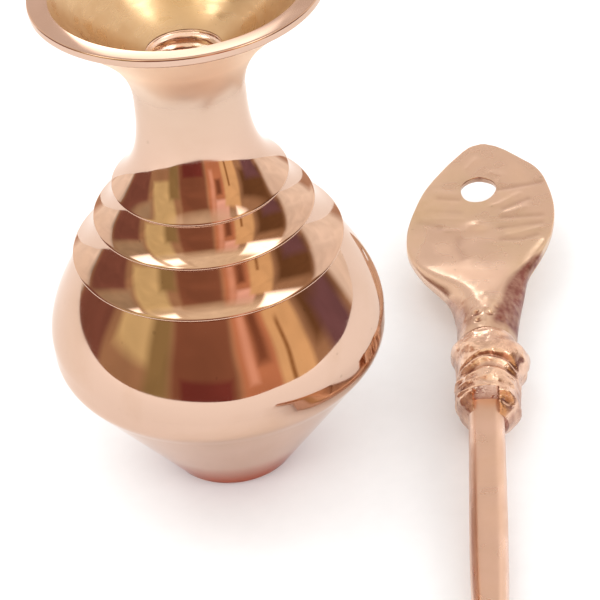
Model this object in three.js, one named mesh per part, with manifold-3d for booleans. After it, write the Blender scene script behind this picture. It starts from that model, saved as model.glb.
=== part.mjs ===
// A small turned brass kohl pot and its applicator stick. The pot stands upright, and the stick lies
// on the same surface beside it, face up, resting on its stopper's flange and on the tip of its rod.
// Millimetres, +Z up. The origin is the centre of the pot's foot, on the surface the pot stands on.
import * as THREE from "three";
import { mergeVertices } from "three/addons/utils/BufferGeometryUtils.js";
import Module from "manifold-3d";

const wasm = await Module();
wasm.setup();

// ---- Driving dimensions ----
const GAP = 0.3; // left between two pieces that are brazed or screwed together on the real pot
const WALL = 1.1; // thickness of the pot's shell
const BELLY_RADIUS = 20;
const SEAM_HEIGHT = 20.8; // where the bowl is brazed to the shoulder, at the widest place
const BOWL_START_RADIUS = 8.1; // outside of the bowl's small end, on top of the foot's edge
const BOWL_TURN = { radius: 18.3, height: 16.1 }; // where the straight cone starts to round into the belly
const FOOT_RADIUS = 5.4; // of the flat that the pot stands on
const FOOT_RIM = { radius: 7.9, height: 1.2 }; // top of the foot's rounded edge
const FOOT_PLUG_HEIGHT = 2.4; // how far the foot's middle reaches up into the bowl
const NECK_RADIUS = 6.3; // outside, at its narrowest
const NECK_BORE_RADIUS = 5.5;
const NECK_JOINT_HEIGHT = 52.5;
const THROAT_HEIGHT = 57.7; // top of the threaded bush, at the bottom of the mouth
const BUSH_LENGTH = 9;
const BUSH_CREST_RADIUS = 3.75;
const BUSH_THREAD_DEPTH = 0.6;
const THREAD_PITCH = 1.3;
const THREAD_CHAMFER = 0.4; // at the mouth of the bush
const MOUTH_START_RADIUS = 6.35; // outside of the mouth's narrow end, on top of the neck
const FUNNEL_END_RADIUS = 4.2; // where the funnel meets the threaded hole
// The flat rounded rim. Its inner edge is a little lower than its middle, by the dish.
const LIP = { inner: 13.9, outer: 16.25, height: 65.9, thickness: 1.1, underRound: 0.7, dish: 0.25 };
// Lower edge of each shoulder tier, from the widest, with the cove that is cut back under it.
const TIERS = [
  { edge: [15.95, 32.35], cove: [15.35, 31.7] },
  { edge: [12.9, 37.15], cove: [12.35, 36.55] },
  { edge: [10.25, 41.25], cove: [9.75, 40.65] },
];
const TIER_HOLLOW = 0.35; // how far a tier's face dips below a straight cone
const TIER_NOSE = 0.3; // rounding of a tier's lower edge
const TIER_LEAN = 0.05; // a tier's face starts this far inside its edge
const TIER_STEPS = 4;
const BOWL_SOCKET_DEPTH = 0.6; // the bowl's inside starts this far above the foot's plug
const SHOULDER_INSIDE = [14.15, 31.3]; // where the neck's flare meets the belly, inside the wall
const BORE_LEDGE = 1; // the neck's bore goes on this far below the bush before it widens

// The curved stretches of the pot's outline. Each is a cubic curve that leaves its first point and
// reaches its last one along the given [radius, height] steps to its two control points.
const BENDS = {
  footEdge: { leave: [1.1, 0], reach: [-0.3, -0.5], steps: 4 },
  bowl: { leave: [1.1, 1.67], reach: [0, -2.05], steps: 5 },
  belly: { leave: [0, 2.75], reach: [2.55, -3.6], steps: 7 },
  neck: { leave: [-2.2, 2], reach: [0, -7.4], steps: 9 },
  neckInside: { leave: [0, -3.4], reach: [-4, 8.05], steps: 6 },
  bellyInside: { leave: [2.7, -3.6], reach: [0, 2.75], steps: 5 },
  mouth: { leave: [0.15, 4.45], reach: [-5.95, -4.9], steps: 8 },
  rim: { leave: [0.95, 0.2], reach: [1.275, 0], steps: 5 },
  funnel: { leave: [-1.9, -2.05], reach: [3.1, 1.35], steps: 8 },
};

const STICK_AT = { x: 32.7, y: 4.95 }; // the stick's origin, in its stopper, seen from above
const STICK_YAW = -6.7; // degrees, from +Y towards +X
const FLANGE_RADIUS = 5.05;
const FLANGE_HALF_WIDTH = 1.5;
const FLANGE_ROUNDING = 0.9; // how deep its rounded edge is
const FLANGE_TILT = 12; // degrees: the flange sits askew on the stopper
const FLANGE_OFFSET = { across: 0.3, along: 0.8 }; // of the flange's middle from the stick's origin
const STOPPER_CREST_RADIUS = 4.2;
const THREAD_DEPTH = 0.35; // of the stopper's worn thread
const STOPPER_TOP = 3.2; // along the stick from its origin, towards the leaf
const STOPPER_TAPER_START = -8.2;
const STOPPER_END = -10.8;
const STOPPER_RIDGES = 3;
const STOPPER_PLAIN = 3; // length of the plain shank between the taper and the lowest ridge
const STOPPER_BORE_RADIUS = 2.85;
const STOPPER_END_WALL = 0.35; // left round the bore at the thin end of the taper
const ROD_WIDTH = 4.6; // across flats, at the stopper
const ROD_LOW = { along: -40, width: 4.2 }; // where the rod starts to narrow to its tip
const ROD_TIP_WIDTH = 3;
const ROD_OFFSET = -0.2; // the rod sits a little to the left in the stopper
const ROD_TIP = -55; // along the stick from its origin
const ROD_TIP_ROUNDING = 1.6;
const ROD_TOP = -2;
const ROD_SIDES = 8;
const ROD_SLOT = { width: 2.8, top: -7.4 }; // notch in the stopper that shows the rod's upper flat
const CUT_MARGIN = 1; // how far a cutting tool runs past the piece it cuts
const LEAF_HALF_THICKNESS = 0.65;
const LEAF_NECK_RADIUS = 3.8;
const LEAF_START = STOPPER_TOP + GAP;
const LEAF_END = 46.1;
const LEAF_HOLE = { halfWidth: 2.4, halfLength: 2.75, along: 36.1, across: -0.75 }; // for a cord
// Half widths of the leaf at places along the stick: [along, left, right].
const LEAF_OUTLINE = [
  [LEAF_START, 3.7, 3.75],
  [8, 3.95, 4.3],
  [12.5, 5.2, 5.1],
  [17, 8.3, 5.8],
  [21, 10.1, 7.5],
  [26, 10.5, 9.1],
  [31.5, 9.5, 9.6],
  [36.3, 7.9, 8.9],
  [40.8, 5.5, 7.2],
  [43.6, 3.5, 4.4],
  [45.3, 2.2, 2.3],
  [LEAF_END, 0.7, 0.7],
];
// Half thickness of the head at places along the stick: round at the stopper, flat in the leaf.
const LEAF_THICKNESS = [
  [LEAF_START, LEAF_NECK_RADIUS],
  [8, 3.2],
  [14, 1.7],
  [20, 0.9],
  [27, LEAF_HALF_THICKNESS],
  [LEAF_END - 3, LEAF_HALF_THICKNESS],
  [LEAF_END, 0.4],
];
const LEAF_BOSS = { along: 25.3, across: -0.1, halfWidth: 1.9, halfLength: 3, height: 0.8, sunk: 0.2 };

const STICK_CLEARANCE = 0.02; // under the flange, above the surface

const POT_SEGMENTS = 40;
const SMALL_SEGMENTS = 24;
const LEAF_RINGS = 22;
const HOLE_SEGMENTS = 20;
const FLANGE_STEPS = 6;
const ROD_TIP_STEPS = 3;
const BRASS = { metalness: 1, roughness: 0.16 };

// ---- Helpers ----
const degrees = THREE.MathUtils.degToRad;
const point = (radius, height) => new THREE.Vector2(radius, height);

function brassMesh(name, geometry, color) {
  const mesh = new THREE.Mesh(geometry, new THREE.MeshStandardMaterial({ color, ...BRASS }));
  mesh.name = name;
  return mesh;
}

// Turns a profile of (radius, height) points about the Z axis. The profile runs up its outer side.
function turned(profile, segments) {
  const geometry = new THREE.LatheGeometry(profile, segments);
  geometry.rotateX(Math.PI / 2);
  return geometry;
}

// A ring's profile: up the outer side, back down the inner side, and closed on its first point.
function ring(outer, inner) {
  return [...outer, ...inner, outer[0].clone()];
}

// Points along one of the BENDS between two [radius, height] places, ends included.
function bend({ leave, reach, steps }, from, to) {
  const start = point(...from);
  const end = point(...to);
  const afterStart = start.clone().add(point(...leave));
  const beforeEnd = end.clone().add(point(...reach));
  return new THREE.CubicBezierCurve(start, afterStart, beforeEnd, end).getPoints(steps);
}

// The same outline moved inwards by a wall's thickness, square to the outline at each point.
function inset(profile, distance) {
  return profile.map((p, i) => {
    const before = profile[Math.max(i - 1, 0)];
    const after = profile[Math.min(i + 1, profile.length - 1)];
    const along = after.clone().sub(before).normalize();
    return point(p.x - along.y * distance, p.y + along.x * distance);
  });
}

function toSolid(geometry) {
  const bare = geometry.clone();
  bare.deleteAttribute("normal");
  bare.deleteAttribute("uv");
  const merged = mergeVertices(bare, 1e-4);
  return new wasm.Manifold(
    new wasm.Mesh({
      numProp: 3,
      vertProperties: new Float32Array(merged.attributes.position.array),
      triVerts: new Uint32Array(merged.index.array),
    }),
  );
}

function toGeometry(solid) {
  const mesh = solid.getMesh();
  const geometry = new THREE.BufferGeometry();
  geometry.setAttribute("position", new THREE.BufferAttribute(mesh.vertProperties, 3));
  geometry.setIndex(new THREE.BufferAttribute(mesh.triVerts, 1));
  geometry.computeVertexNormals();
  return geometry;
}

// ---- The pot ----

// The foot: a turned plug with a rounded edge, brazed into the small end of the bowl.
function foot() {
  const plugRadius = FOOT_RADIUS - GAP;
  const edge = bend(BENDS.footEdge, [FOOT_RADIUS, 0], [FOOT_RIM.radius, FOOT_RIM.height]);
  const plug = [
    point(plugRadius, FOOT_RIM.height),
    point(plugRadius, FOOT_PLUG_HEIGHT),
    point(0, FOOT_PLUG_HEIGHT),
  ];
  return turned([point(0, 0), ...edge, ...plug], SMALL_SEGMENTS);
}

// Outside of the bowl, from the foot up to the seam: a straight cone that rounds into the belly.
function bowlOutside() {
  const start = point(BOWL_START_RADIUS, FOOT_RIM.height + GAP);
  const turn = [BOWL_TURN.radius, BOWL_TURN.height];
  return [start, ...bend(BENDS.bowl, turn, [BELLY_RADIUS, SEAM_HEIGHT - GAP / 2])];
}

function bowl() {
  const outside = bowlOutside();
  const inside = inset(outside, WALL).reverse();
  inside[0].y = outside.at(-1).y;
  const socket = point(FOOT_RADIUS, FOOT_RIM.height + GAP);
  inside[inside.length - 1] = point(FOOT_RADIUS, FOOT_PLUG_HEIGHT + BOWL_SOCKET_DEPTH);
  return turned(ring(outside, [...inside, socket]), POT_SEGMENTS);
}

// A tier's face, from its lower edge up to the cove of the tier above. It is slightly hollow, so it
// flares out towards its edge.
function tierFace([edgeRadius, edgeHeight], [topRadius, topHeight]) {
  const middle = point((edgeRadius + topRadius) / 2, (edgeHeight + topHeight) / 2);
  const inwards = point(edgeHeight - topHeight, topRadius - edgeRadius).normalize();
  middle.addScaledVector(inwards, 2 * TIER_HOLLOW);
  const start = point(edgeRadius - TIER_LEAN, edgeHeight + TIER_NOSE);
  const face = new THREE.QuadraticBezierCurve(start, middle, point(topRadius, topHeight));
  return face.getPoints(TIER_STEPS);
}

// The nose of a tier: out from under the edge and round it.
function tierNose([edgeRadius, edgeHeight]) {
  return [point(edgeRadius - TIER_NOSE, edgeHeight - TIER_NOSE), point(edgeRadius, edgeHeight)];
}

// Outside of the shoulder, from the seam up to the neck joint: belly, three tiers and the neck.
function shoulderOutside() {
  const [wide, middle, top] = TIERS;
  const neckStart = [top.edge[0] - TIER_LEAN, top.edge[1] + TIER_NOSE];
  const belly = bend(BENDS.belly, [BELLY_RADIUS, SEAM_HEIGHT + GAP / 2], wide.cove);
  const neck = bend(BENDS.neck, neckStart, [NECK_RADIUS, NECK_JOINT_HEIGHT - GAP / 2]);
  return [
    ...belly,
    ...tierNose(wide.edge),
    ...tierFace(wide.edge, middle.cove),
    ...tierNose(middle.edge),
    ...tierFace(middle.edge, top.cove),
    ...tierNose(top.edge),
    ...neck,
  ];
}

// Inside of the shoulder, from the neck's bore down to the seam, smooth behind the tiers.
function shoulderInside() {
  const boreEnd = [NECK_BORE_RADIUS, THROAT_HEIGHT - BUSH_LENGTH - BORE_LEDGE];
  const seam = [BELLY_RADIUS - WALL, SEAM_HEIGHT + GAP / 2];
  const flare = bend(BENDS.neckInside, boreEnd, SHOULDER_INSIDE);
  const belly = bend(BENDS.bellyInside, SHOULDER_INSIDE, seam);
  return [point(NECK_BORE_RADIUS, NECK_JOINT_HEIGHT - GAP / 2), ...flare, ...belly.slice(1)];
}

function shoulder() {
  return turned(ring(shoulderOutside(), shoulderInside()), POT_SEGMENTS);
}

// The trumpet mouth with its rounded rim. Its bore goes over the upper half of the threaded bush, and
// the bottom of the funnel rests on the bush.
function mouth() {
  const start = NECK_JOINT_HEIGHT + GAP / 2;
  const under = [LIP.outer - LIP.underRound, LIP.height - LIP.thickness];
  const top = [(LIP.inner + LIP.outer) / 2, LIP.height];
  const innerEdge = [LIP.inner, LIP.height - LIP.dish];
  const ledge = THROAT_HEIGHT + GAP;
  const outside = bend(BENDS.mouth, [MOUTH_START_RADIUS, start], under);
  const rim = bend(BENDS.rim, under, top);
  const inside = bend(BENDS.funnel, innerEdge, [FUNNEL_END_RADIUS, ledge]);
  const bore = [point(NECK_BORE_RADIUS, ledge), point(NECK_BORE_RADIUS, start)];
  return turned(ring([...outside, ...rim.slice(1)], [...inside, ...bore]), POT_SEGMENTS);
}

// The threaded bush in the neck. Its thread is stood in for by level rings at the thread's pitch.
function bush() {
  const outer = NECK_BORE_RADIUS - GAP;
  const bottom = THROAT_HEIGHT - BUSH_LENGTH;
  const groove = BUSH_CREST_RADIUS + BUSH_THREAD_DEPTH;
  const firstCrest = THROAT_HEIGHT - 2 * THREAD_CHAMFER;
  const turns = Math.floor((firstCrest - bottom) / THREAD_PITCH - 0.5);
  const inside = [point(groove, THROAT_HEIGHT), point(BUSH_CREST_RADIUS, THROAT_HEIGHT - THREAD_CHAMFER)];
  for (let i = 0; i < turns; i += 1) {
    const height = firstCrest - i * THREAD_PITCH;
    inside.push(point(BUSH_CREST_RADIUS, height));
    inside.push(point(groove, height - THREAD_PITCH / 2));
  }
  inside.push(point(BUSH_CREST_RADIUS, firstCrest - turns * THREAD_PITCH));
  inside.push(point(BUSH_CREST_RADIUS, bottom));
  return turned(ring([point(outer, bottom), point(outer, THROAT_HEIGHT)], inside), SMALL_SEGMENTS);
}

// ---- The applicator stick ----
// Each piece is made along its own +Y, towards the leaf, with the leaf's face to +Z and the origin in
// the stopper, just below its flange. A LatheGeometry already turns its profile about Y.

// A smooth value from rows that are sorted by their first column, at a place between them.
function valueAt(rows, along, column) {
  const last = rows.length - 1;
  let i = 0;
  while (i < last - 1 && along > rows[i + 1][0]) i += 1;
  const clampRow = (k) => rows[Math.min(Math.max(k, 0), last)];
  const [a, b, c, d] = [clampRow(i - 1), rows[i], rows[i + 1], clampRow(i + 2)];
  const t = (along - b[0]) / (c[0] - b[0]);
  const span = c[0] - b[0];
  const slopeB = ((c[column] - a[column]) / (c[0] - a[0] || 1)) * span;
  const slopeC = ((d[column] - b[column]) / (d[0] - b[0] || 1)) * span;
  const t2 = t * t;
  const t3 = t2 * t;
  return (
    (2 * t3 - 3 * t2 + 1) * b[column] +
    (t3 - 2 * t2 + t) * slopeB +
    (3 * t2 - 2 * t3) * c[column] +
    (t3 - t2) * slopeC
  );
}

// The head: a round neck that flattens into a leaf, drawn from a cylinder whose rings take the
// outline's width and the head's thickness, with the cord hole cut through and a boss on the face.
function leafHead() {
  const length = LEAF_END - LEAF_START;
  const geometry = new THREE.CylinderGeometry(1, 1, length, SMALL_SEGMENTS, LEAF_RINGS);
  const position = geometry.attributes.position;
  for (let i = 0; i < position.count; i += 1) {
    const along = position.getY(i) + length / 2 + LEAF_START;
    const left = valueAt(LEAF_OUTLINE, along, 1);
    const right = valueAt(LEAF_OUTLINE, along, 2);
    const thick = valueAt(LEAF_THICKNESS, along, 1);
    const across = position.getX(i) * ((left + right) / 2) + (right - left) / 2;
    position.setXYZ(i, across, along, position.getZ(i) * thick);
  }
  const hole = new THREE.CylinderGeometry(1, 1, 2 * (LEAF_HALF_THICKNESS + CUT_MARGIN), HOLE_SEGMENTS);
  hole.rotateX(Math.PI / 2);
  hole.scale(LEAF_HOLE.halfWidth, LEAF_HOLE.halfLength, 1);
  hole.translate(LEAF_HOLE.across, LEAF_HOLE.along, 0);
  const boss = new THREE.SphereGeometry(1, 16, 10);
  boss.scale(LEAF_BOSS.halfWidth, LEAF_BOSS.halfLength, LEAF_BOSS.height);
  boss.translate(LEAF_BOSS.across, LEAF_BOSS.along, LEAF_HALF_THICKNESS - LEAF_BOSS.sunk);
  return toGeometry(toSolid(geometry).subtract(toSolid(hole)).add(toSolid(boss)));
}

// The screw stopper: ridges for its thread, a plain shank that tapers to the rod, a flange set askew,
// a bore for the rod, and a notch that lays the rod's upper flat bare.
function stopper() {
  const root = STOPPER_CREST_RADIUS - THREAD_DEPTH;
  const ridgesStart = STOPPER_TAPER_START + STOPPER_PLAIN;
  const profile = [
    point(0, STOPPER_END),
    point(STOPPER_BORE_RADIUS + STOPPER_END_WALL, STOPPER_END),
    point(STOPPER_CREST_RADIUS, STOPPER_TAPER_START),
    point(STOPPER_CREST_RADIUS, ridgesStart),
  ];
  for (let i = 0; i < STOPPER_RIDGES; i += 1) {
    const along = ridgesStart + THREAD_DEPTH + i * THREAD_PITCH;
    profile.push(point(root, along));
    profile.push(point(STOPPER_CREST_RADIUS, along + THREAD_PITCH / 2));
  }
  profile.push(point(root, 0));
  profile.push(point(STOPPER_CREST_RADIUS, STOPPER_TOP - THREAD_DEPTH));
  profile.push(point(LEAF_NECK_RADIUS, STOPPER_TOP));
  profile.push(point(0, STOPPER_TOP));
  const shank = toSolid(new THREE.LatheGeometry(profile, SMALL_SEGMENTS));
  const cutTop = STOPPER_CREST_RADIUS + CUT_MARGIN;
  const notchLength = ROD_SLOT.top - STOPPER_END + CUT_MARGIN;
  const notch = new THREE.BoxGeometry(ROD_SLOT.width, notchLength, cutTop);
  notch.translate(ROD_OFFSET, ROD_SLOT.top - notchLength / 2, cutTop / 2);
  const boreLength = ROD_TOP + GAP - STOPPER_END + CUT_MARGIN;
  const bore = new THREE.CylinderGeometry(1, 1, boreLength, SMALL_SEGMENTS);
  bore.scale(STOPPER_BORE_RADIUS, 1, STOPPER_BORE_RADIUS);
  bore.translate(ROD_OFFSET, ROD_TOP + GAP - boreLength / 2, 0);
  return toGeometry(shank.add(toSolid(flange())).subtract(toSolid(bore)).subtract(toSolid(notch)));
}

// The stopper's flange: a disc with an evenly rounded edge, set askew.
function flange() {
  const profile = [point(0, -FLANGE_HALF_WIDTH)];
  for (let i = 0; i <= FLANGE_STEPS; i += 1) {
    const angle = (i / FLANGE_STEPS - 0.5) * Math.PI;
    const radius = FLANGE_RADIUS - FLANGE_ROUNDING * (1 - Math.cos(angle));
    profile.push(point(radius, FLANGE_HALF_WIDTH * Math.sin(angle)));
  }
  profile.push(point(0, FLANGE_HALF_WIDTH));
  const disc = new THREE.LatheGeometry(profile, SMALL_SEGMENTS);
  disc.rotateZ(degrees(-FLANGE_TILT));
  disc.translate(FLANGE_OFFSET.across, FLANGE_OFFSET.along, 0);
  return disc;
}

// The rod: eight flats, tapering evenly to a rounded tip.
function rod() {
  const corner = (width) => width / 2 / Math.cos(Math.PI / ROD_SIDES);
  const profile = [point(0, ROD_TIP)];
  for (let i = 1; i <= ROD_TIP_STEPS; i += 1) {
    const angle = (i / ROD_TIP_STEPS) * (Math.PI / 2);
    const radius = corner(ROD_TIP_WIDTH) * Math.sin(angle);
    profile.push(point(radius, ROD_TIP + ROD_TIP_ROUNDING * (1 - Math.cos(angle))));
  }
  profile.push(point(corner(ROD_LOW.width), ROD_LOW.along));
  profile.push(point(corner(ROD_WIDTH), ROD_TOP));
  profile.push(point(0, ROD_TOP));
  const geometry = new THREE.LatheGeometry(profile, ROD_SIDES);
  geometry.rotateY(Math.PI / ROD_SIDES);
  geometry.translate(ROD_OFFSET, 0, 0);
  return geometry;
}

// ---- The assembly ----
const part = new THREE.Group();

const pot = new THREE.Group();
pot.add(brassMesh("foot_disc", foot(), 0xd9a98a));
pot.add(brassMesh("lower_bowl", bowl(), 0xe3bb9a));
pot.add(brassMesh("stepped_shoulder", shoulder(), 0xe3bb9a));
pot.add(brassMesh("threaded_bush", bush(), 0xd0a06a));
pot.add(brassMesh("trumpet_mouth", mouth(), 0xe6c07f));
part.add(pot);

// The flange touches the surface, and the rod's tip does too, so the stick slopes up to the leaf.
const stick = new THREE.Group();
stick.add(brassMesh("leaf_head", leafHead(), 0xd9b08c));
stick.add(brassMesh("screw_stopper", stopper(), 0xd0a07c));
stick.add(brassMesh("applicator_rod", rod(), 0xd9b08c));
const slope = Math.asin((FLANGE_RADIUS - ROD_TIP_WIDTH / 2) / -ROD_TIP);
stick.rotation.x = slope;
const laid = new THREE.Group();
laid.position.set(STICK_AT.x, STICK_AT.y, FLANGE_RADIUS * Math.cos(slope) + STICK_CLEARANCE);
laid.rotation.z = degrees(STICK_YAW);
laid.add(stick);
part.add(laid);

export default part;
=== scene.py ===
"""The look of a turned brass kohl pot and its applicator stick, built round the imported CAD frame.

Lengths are in millimetres, in the CAD frame, and become metres when a mesh is made. The pot is turned
about Z. The stick's pieces are made along their own +Y, towards the leaf, and then laid down.
"""

import math

import bpy
import numpy as np
from mathutils import Matrix, Vector, noise


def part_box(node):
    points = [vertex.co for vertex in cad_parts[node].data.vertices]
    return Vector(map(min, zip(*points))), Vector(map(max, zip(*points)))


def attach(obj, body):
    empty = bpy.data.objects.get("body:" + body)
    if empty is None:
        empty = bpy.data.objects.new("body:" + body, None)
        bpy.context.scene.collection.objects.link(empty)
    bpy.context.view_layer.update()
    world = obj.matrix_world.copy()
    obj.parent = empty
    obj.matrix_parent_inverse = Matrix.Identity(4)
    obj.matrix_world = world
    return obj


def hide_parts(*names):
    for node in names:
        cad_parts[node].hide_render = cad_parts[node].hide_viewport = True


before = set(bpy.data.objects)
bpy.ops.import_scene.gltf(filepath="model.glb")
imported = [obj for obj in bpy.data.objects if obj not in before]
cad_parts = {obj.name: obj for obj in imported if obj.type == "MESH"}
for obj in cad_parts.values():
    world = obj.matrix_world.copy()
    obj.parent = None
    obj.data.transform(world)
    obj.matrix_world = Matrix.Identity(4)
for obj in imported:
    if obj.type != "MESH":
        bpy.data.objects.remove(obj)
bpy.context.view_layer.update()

MM = 0.001

# ---- Sizes read from the frame ----


def low(node):
    """A node's lowest corner in millimetres."""
    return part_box(node)[0] / MM


def high(node):
    """A node's highest corner in millimetres."""
    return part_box(node)[1] / MM


FOOT_HEIGHT = high("foot_disc").z
FOOT_RIM_RADIUS = high("foot_disc").x
BELLY_RADIUS = high("lower_bowl").x
SEAM_HEIGHT = (high("lower_bowl").z + low("stepped_shoulder").z) / 2
NECK_JOINT_HEIGHT = (high("stepped_shoulder").z + low("trumpet_mouth").z) / 2
THROAT_HEIGHT = high("threaded_bush").z
BUSH_BOTTOM = low("threaded_bush").z
BUSH_RADIUS = high("threaded_bush").x
LIP_HEIGHT = high("trumpet_mouth").z

# ---- The pot's outline ----
JOINT = 0.002  # gap left where two brazed pieces meet
SHARP_EDGE = 34  # degrees: an edge that turns by more than this isn't shaded as a round one
WALL = 1.1
FOOT_FLAT_RADIUS = 5.4
FOOT_RIM_HEIGHT = 1.2
BOWL_START = (8.0, FOOT_RIM_HEIGHT + JOINT)
BOWL_TURN = (18.3, 16.1)  # where the straight cone rounds into the belly
NECK_RADIUS = 6.3
NECK_BORE_RADIUS = 5.5
# The rim, from its inner edge outwards and down its side.
LIP_RADIUS = high("trumpet_mouth").x
LIP_INNER = (13.9, LIP_HEIGHT - 0.25)
LIP_UNDER = (LIP_RADIUS - 0.65, LIP_HEIGHT - 1.1)
LIP_SIDE = (LIP_RADIUS - 0.05, LIP_HEIGHT - 0.72)
LIP_CORNER = (LIP_RADIUS - 0.02, LIP_HEIGHT - 0.2)
LIP_BROW = (LIP_RADIUS - 0.24, LIP_HEIGHT - 0.01)
SHOULDER_INSIDE = (14.15, 31.3)
# Lower edge of each shoulder tier, from the widest, and the cove that is cut back under it.
TIERS = [
    ((15.95, 32.35), (15.35, 31.7)),
    ((12.9, 37.15), (12.35, 36.55)),
    ((10.25, 41.25), (9.75, 40.65)),
]
TIER_HOLLOW = 0.35  # how far a tier's face dips below a straight cone
TIER_NOSE = 0.3  # size of the rounding on a tier's lower edge
# Each curved stretch leaves its first point and reaches its last one along these steps.
BENDS = {
    "foot_edge": ((1.1, 0), (-0.3, -0.5)),
    "bowl": ((1.1, 1.67), (0, -2.05)),
    "belly": ((0, 2.75), (2.55, -3.6)),
    "neck": ((-2.2, 2.0), (0, -7.4)),
    "neck_inside": ((0, -3.4), (-4, 8.05)),
    "belly_inside": ((2.7, -3.6), (0, 2.75)),
    "mouth": ((0.0, 4.6), (-5.95, -4.9)),
    "rim_under": ((0.4, 0.1), (0, -0.25)),
    "rim_edge": ((0, 0.12), (0.12, 0.01)),
    "lip_top": ((-0.6, -0.06), (0.5, 0.08)),
    "funnel": ((-1.9, -2.05), (3.1, 1.35)),
}
FUNNEL_END_RADIUS = 4.3
POT_SEGMENTS = 192

# ---- The thread, on both the bush and the stopper ----
THREAD_PITCH = 1.3
BUSH_THREAD_DEPTH = 0.6
BUSH_CREST_RADIUS = 3.75

# ---- The stick ----
STICK_AT = (32.7, 4.95)
STICK_YAW = math.radians(-6.7)
FLANGE_RADIUS = 5.05
ROD_TIP_WIDTH = 3.0
ROD_TIP = -55.0
STICK_SLOPE = math.asin((FLANGE_RADIUS - ROD_TIP_WIDTH / 2) / -ROD_TIP)
STICK_HEIGHT = FLANGE_RADIUS * math.cos(STICK_SLOPE) + 0.02
STOPPER_TOP = 3.2
STOPPER_END = -11.2
# Places along the stick, with the leaf's half widths to the left and right.
LEAF_OUTLINE = [
    (3.2, 3.7, 3.75),
    (8, 3.95, 4.3),
    (12.5, 5.2, 5.0),
    (17, 8.3, 5.8),
    (21, 10.1, 7.5),
    (26, 10.5, 9.1),
    (31.5, 9.5, 9.6),
    (36.3, 7.9, 8.9),
    (38.8, 6.6, 8.2),
    (40.3, 5.7, 7.45),
    (41.3, 5.1, 6.7),
    (42.2, 4.5, 5.75),
    (43.6, 3.5, 4.3),
    (44.9, 2.5, 2.8),
    (45.7, 1.5, 1.5),
    (46.1, 0.35, 0.35),
]
# Half height of the head's round body before its face is cut flat, and the height of that flat face.
LEAF_BODY = [
    (3.2, 3.75),
    (6, 3.65),
    (8.5, 3.4),
    (12.5, 2.7),
    (16, 1.9),
    (20, 1.15),
    (24, 0.8),
    (34, 0.64),
    (46.1, 0.64),
]
LEAF_FACE = [
    (3.2, 4.2),
    (8.5, 3.35),
    (14, 2.1),
    (19, 0.95),
    (22, 0.72),
    (33, 0.52),
    (46.1, 0.52),
]
# How square the head's section is at places along it: 2 is round.
LEAF_SQUARENESS = [(3, 2), (14, 2.1), (20, 4), (26, 9), (47, 9)]
LEAF_HOLE = {"along": 35.6, "across": -0.75, "half_length": 2.7, "half_width": 2.4}
# Soft ridges and grooves that fan out over the leaf: (height, half width, places along and across).
LEAF_RAYS = [
    (0.16, 0.45, [(31.9, 1.3), (32.3, 2.3), (34.4, 4.9)]),
    (0.14, 0.45, [(30.2, 3.1), (31.4, 5.8)]),
    (0.15, 0.45, [(25.4, 3.4), (26.0, 5.5), (26.7, 7.5)]),
    (-0.15, 0.5, [(35.4, 1.9), (36.2, 5.2), (36.8, 7.8)]),
    (-0.15, 0.5, [(31.2, 2.8), (33.1, 6.0)]),
    (-0.13, 0.5, [(29.2, 2.4), (29.5, 7.7)]),
    (-0.13, 0.5, [(26.9, 2.1), (27.6, 6.0), (27.8, 7.6)]),
    (-0.13, 0.5, [(24.3, 2.2), (24.4, 5.2), (25.2, 6.9)]),
    (0.12, 0.5, [(39.4, 1.2), (38.7, 2.6), (37.2, 2.3)]),
    (-0.12, 0.5, [(33.3, -3.6), (33.8, -6.2)]),
    (0.08, 0.6, [(34.6, -4.0), (35.2, -6.4)]),
    (-0.10, 0.6, [(28.5, -8.6), (27.3, -6.0)]),
    (0.06, 0.4, [(26.6, -5.3), (26.5, -2.4)]),
    (0.05, 0.4, [(29.3, -6.8), (29.0, -3.0)]),
    (-0.05, 0.5, [(31.0, -7.6), (30.4, -3.2)]),
    (0.45, 0.75, [(18.6, 5.9), (20.7, 6.7), (23.6, 8.2)]),
    (-0.12, 0.7, [(24.6, -3.4), (22.6, -3.6), (20.3, -2.7)]),
    (0.10, 0.5, [(42.5, -1.0), (40.6, -2.2)]),
]
LEAF_WEAR = 0.42  # what polishing has left of the rays' height
LEAF_BODY_BOSS = {"along": 23.4, "across": 0.2, "half_length": 4.4, "half_width": 2.5, "height": 0.1}
LEAF_KNOB = {"along": 27.3, "across": -0.95, "radius": 0.95, "height": 0.34}
# Casting pits where the head meets the stopper: (along, across, radius, depth).
LEAF_PITS = [
    (6.5, -1.2, 0.5, 0.5),
    (4.9, -1.0, 0.4, 0.45),
    (6.2, 0.6, 0.4, 0.4),
    (7.6, 1.4, 0.45, 0.25),
    (5.2, 1.9, 0.5, 0.3),
]
ROD_TOP = -2.0
ROD_OFFSET = -0.2
# Half width of the rod at places along it, from the stopper to the start of its rounded tip.
ROD_TAPER = [(-53.4, 1.5), (-40, 2.1), (-12, 2.22), (-2, 2.26)]
# The rod's flats: (degrees from the stick's right towards its face, distance out as a share).
ROD_FLATS = [
    (0, 1.0),
    (46, 1.17),
    (91, 1.0),
    (137, 1.13),
    (180, 1.0),
    (226, 1.15),
    (270, 1.0),
    (315, 1.16),
]
ROD_SQUARENESS = 16  # how crisp the edges between the flats are
# The notch filed into the stopper's face over the rod. It runs out towards the leaf along a slope.
NOTCH = {"half_width": 1.42, "start": -8.05, "slope": 0.8, "floor": 2.0}
# The bright flat tongue at the foot of the leaf, beyond which the leaf's sides get a painted dark
# reflection: (place along, reach to the left, to the right).
TONGUE = [
    (3.2, 0.6, 0.2),
    (7.5, 1.5, 0.9),
    (9, 2.0, 1.4),
    (12, 4.0, 2.0),
    (14.5, 9.0, 2.7),
    (17, 11, 3.9),
    (20, 11, 5.9),
    (22, 11, 7.9),
    (25, 11, 11),
]


# ---- Mesh helpers ----


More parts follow.
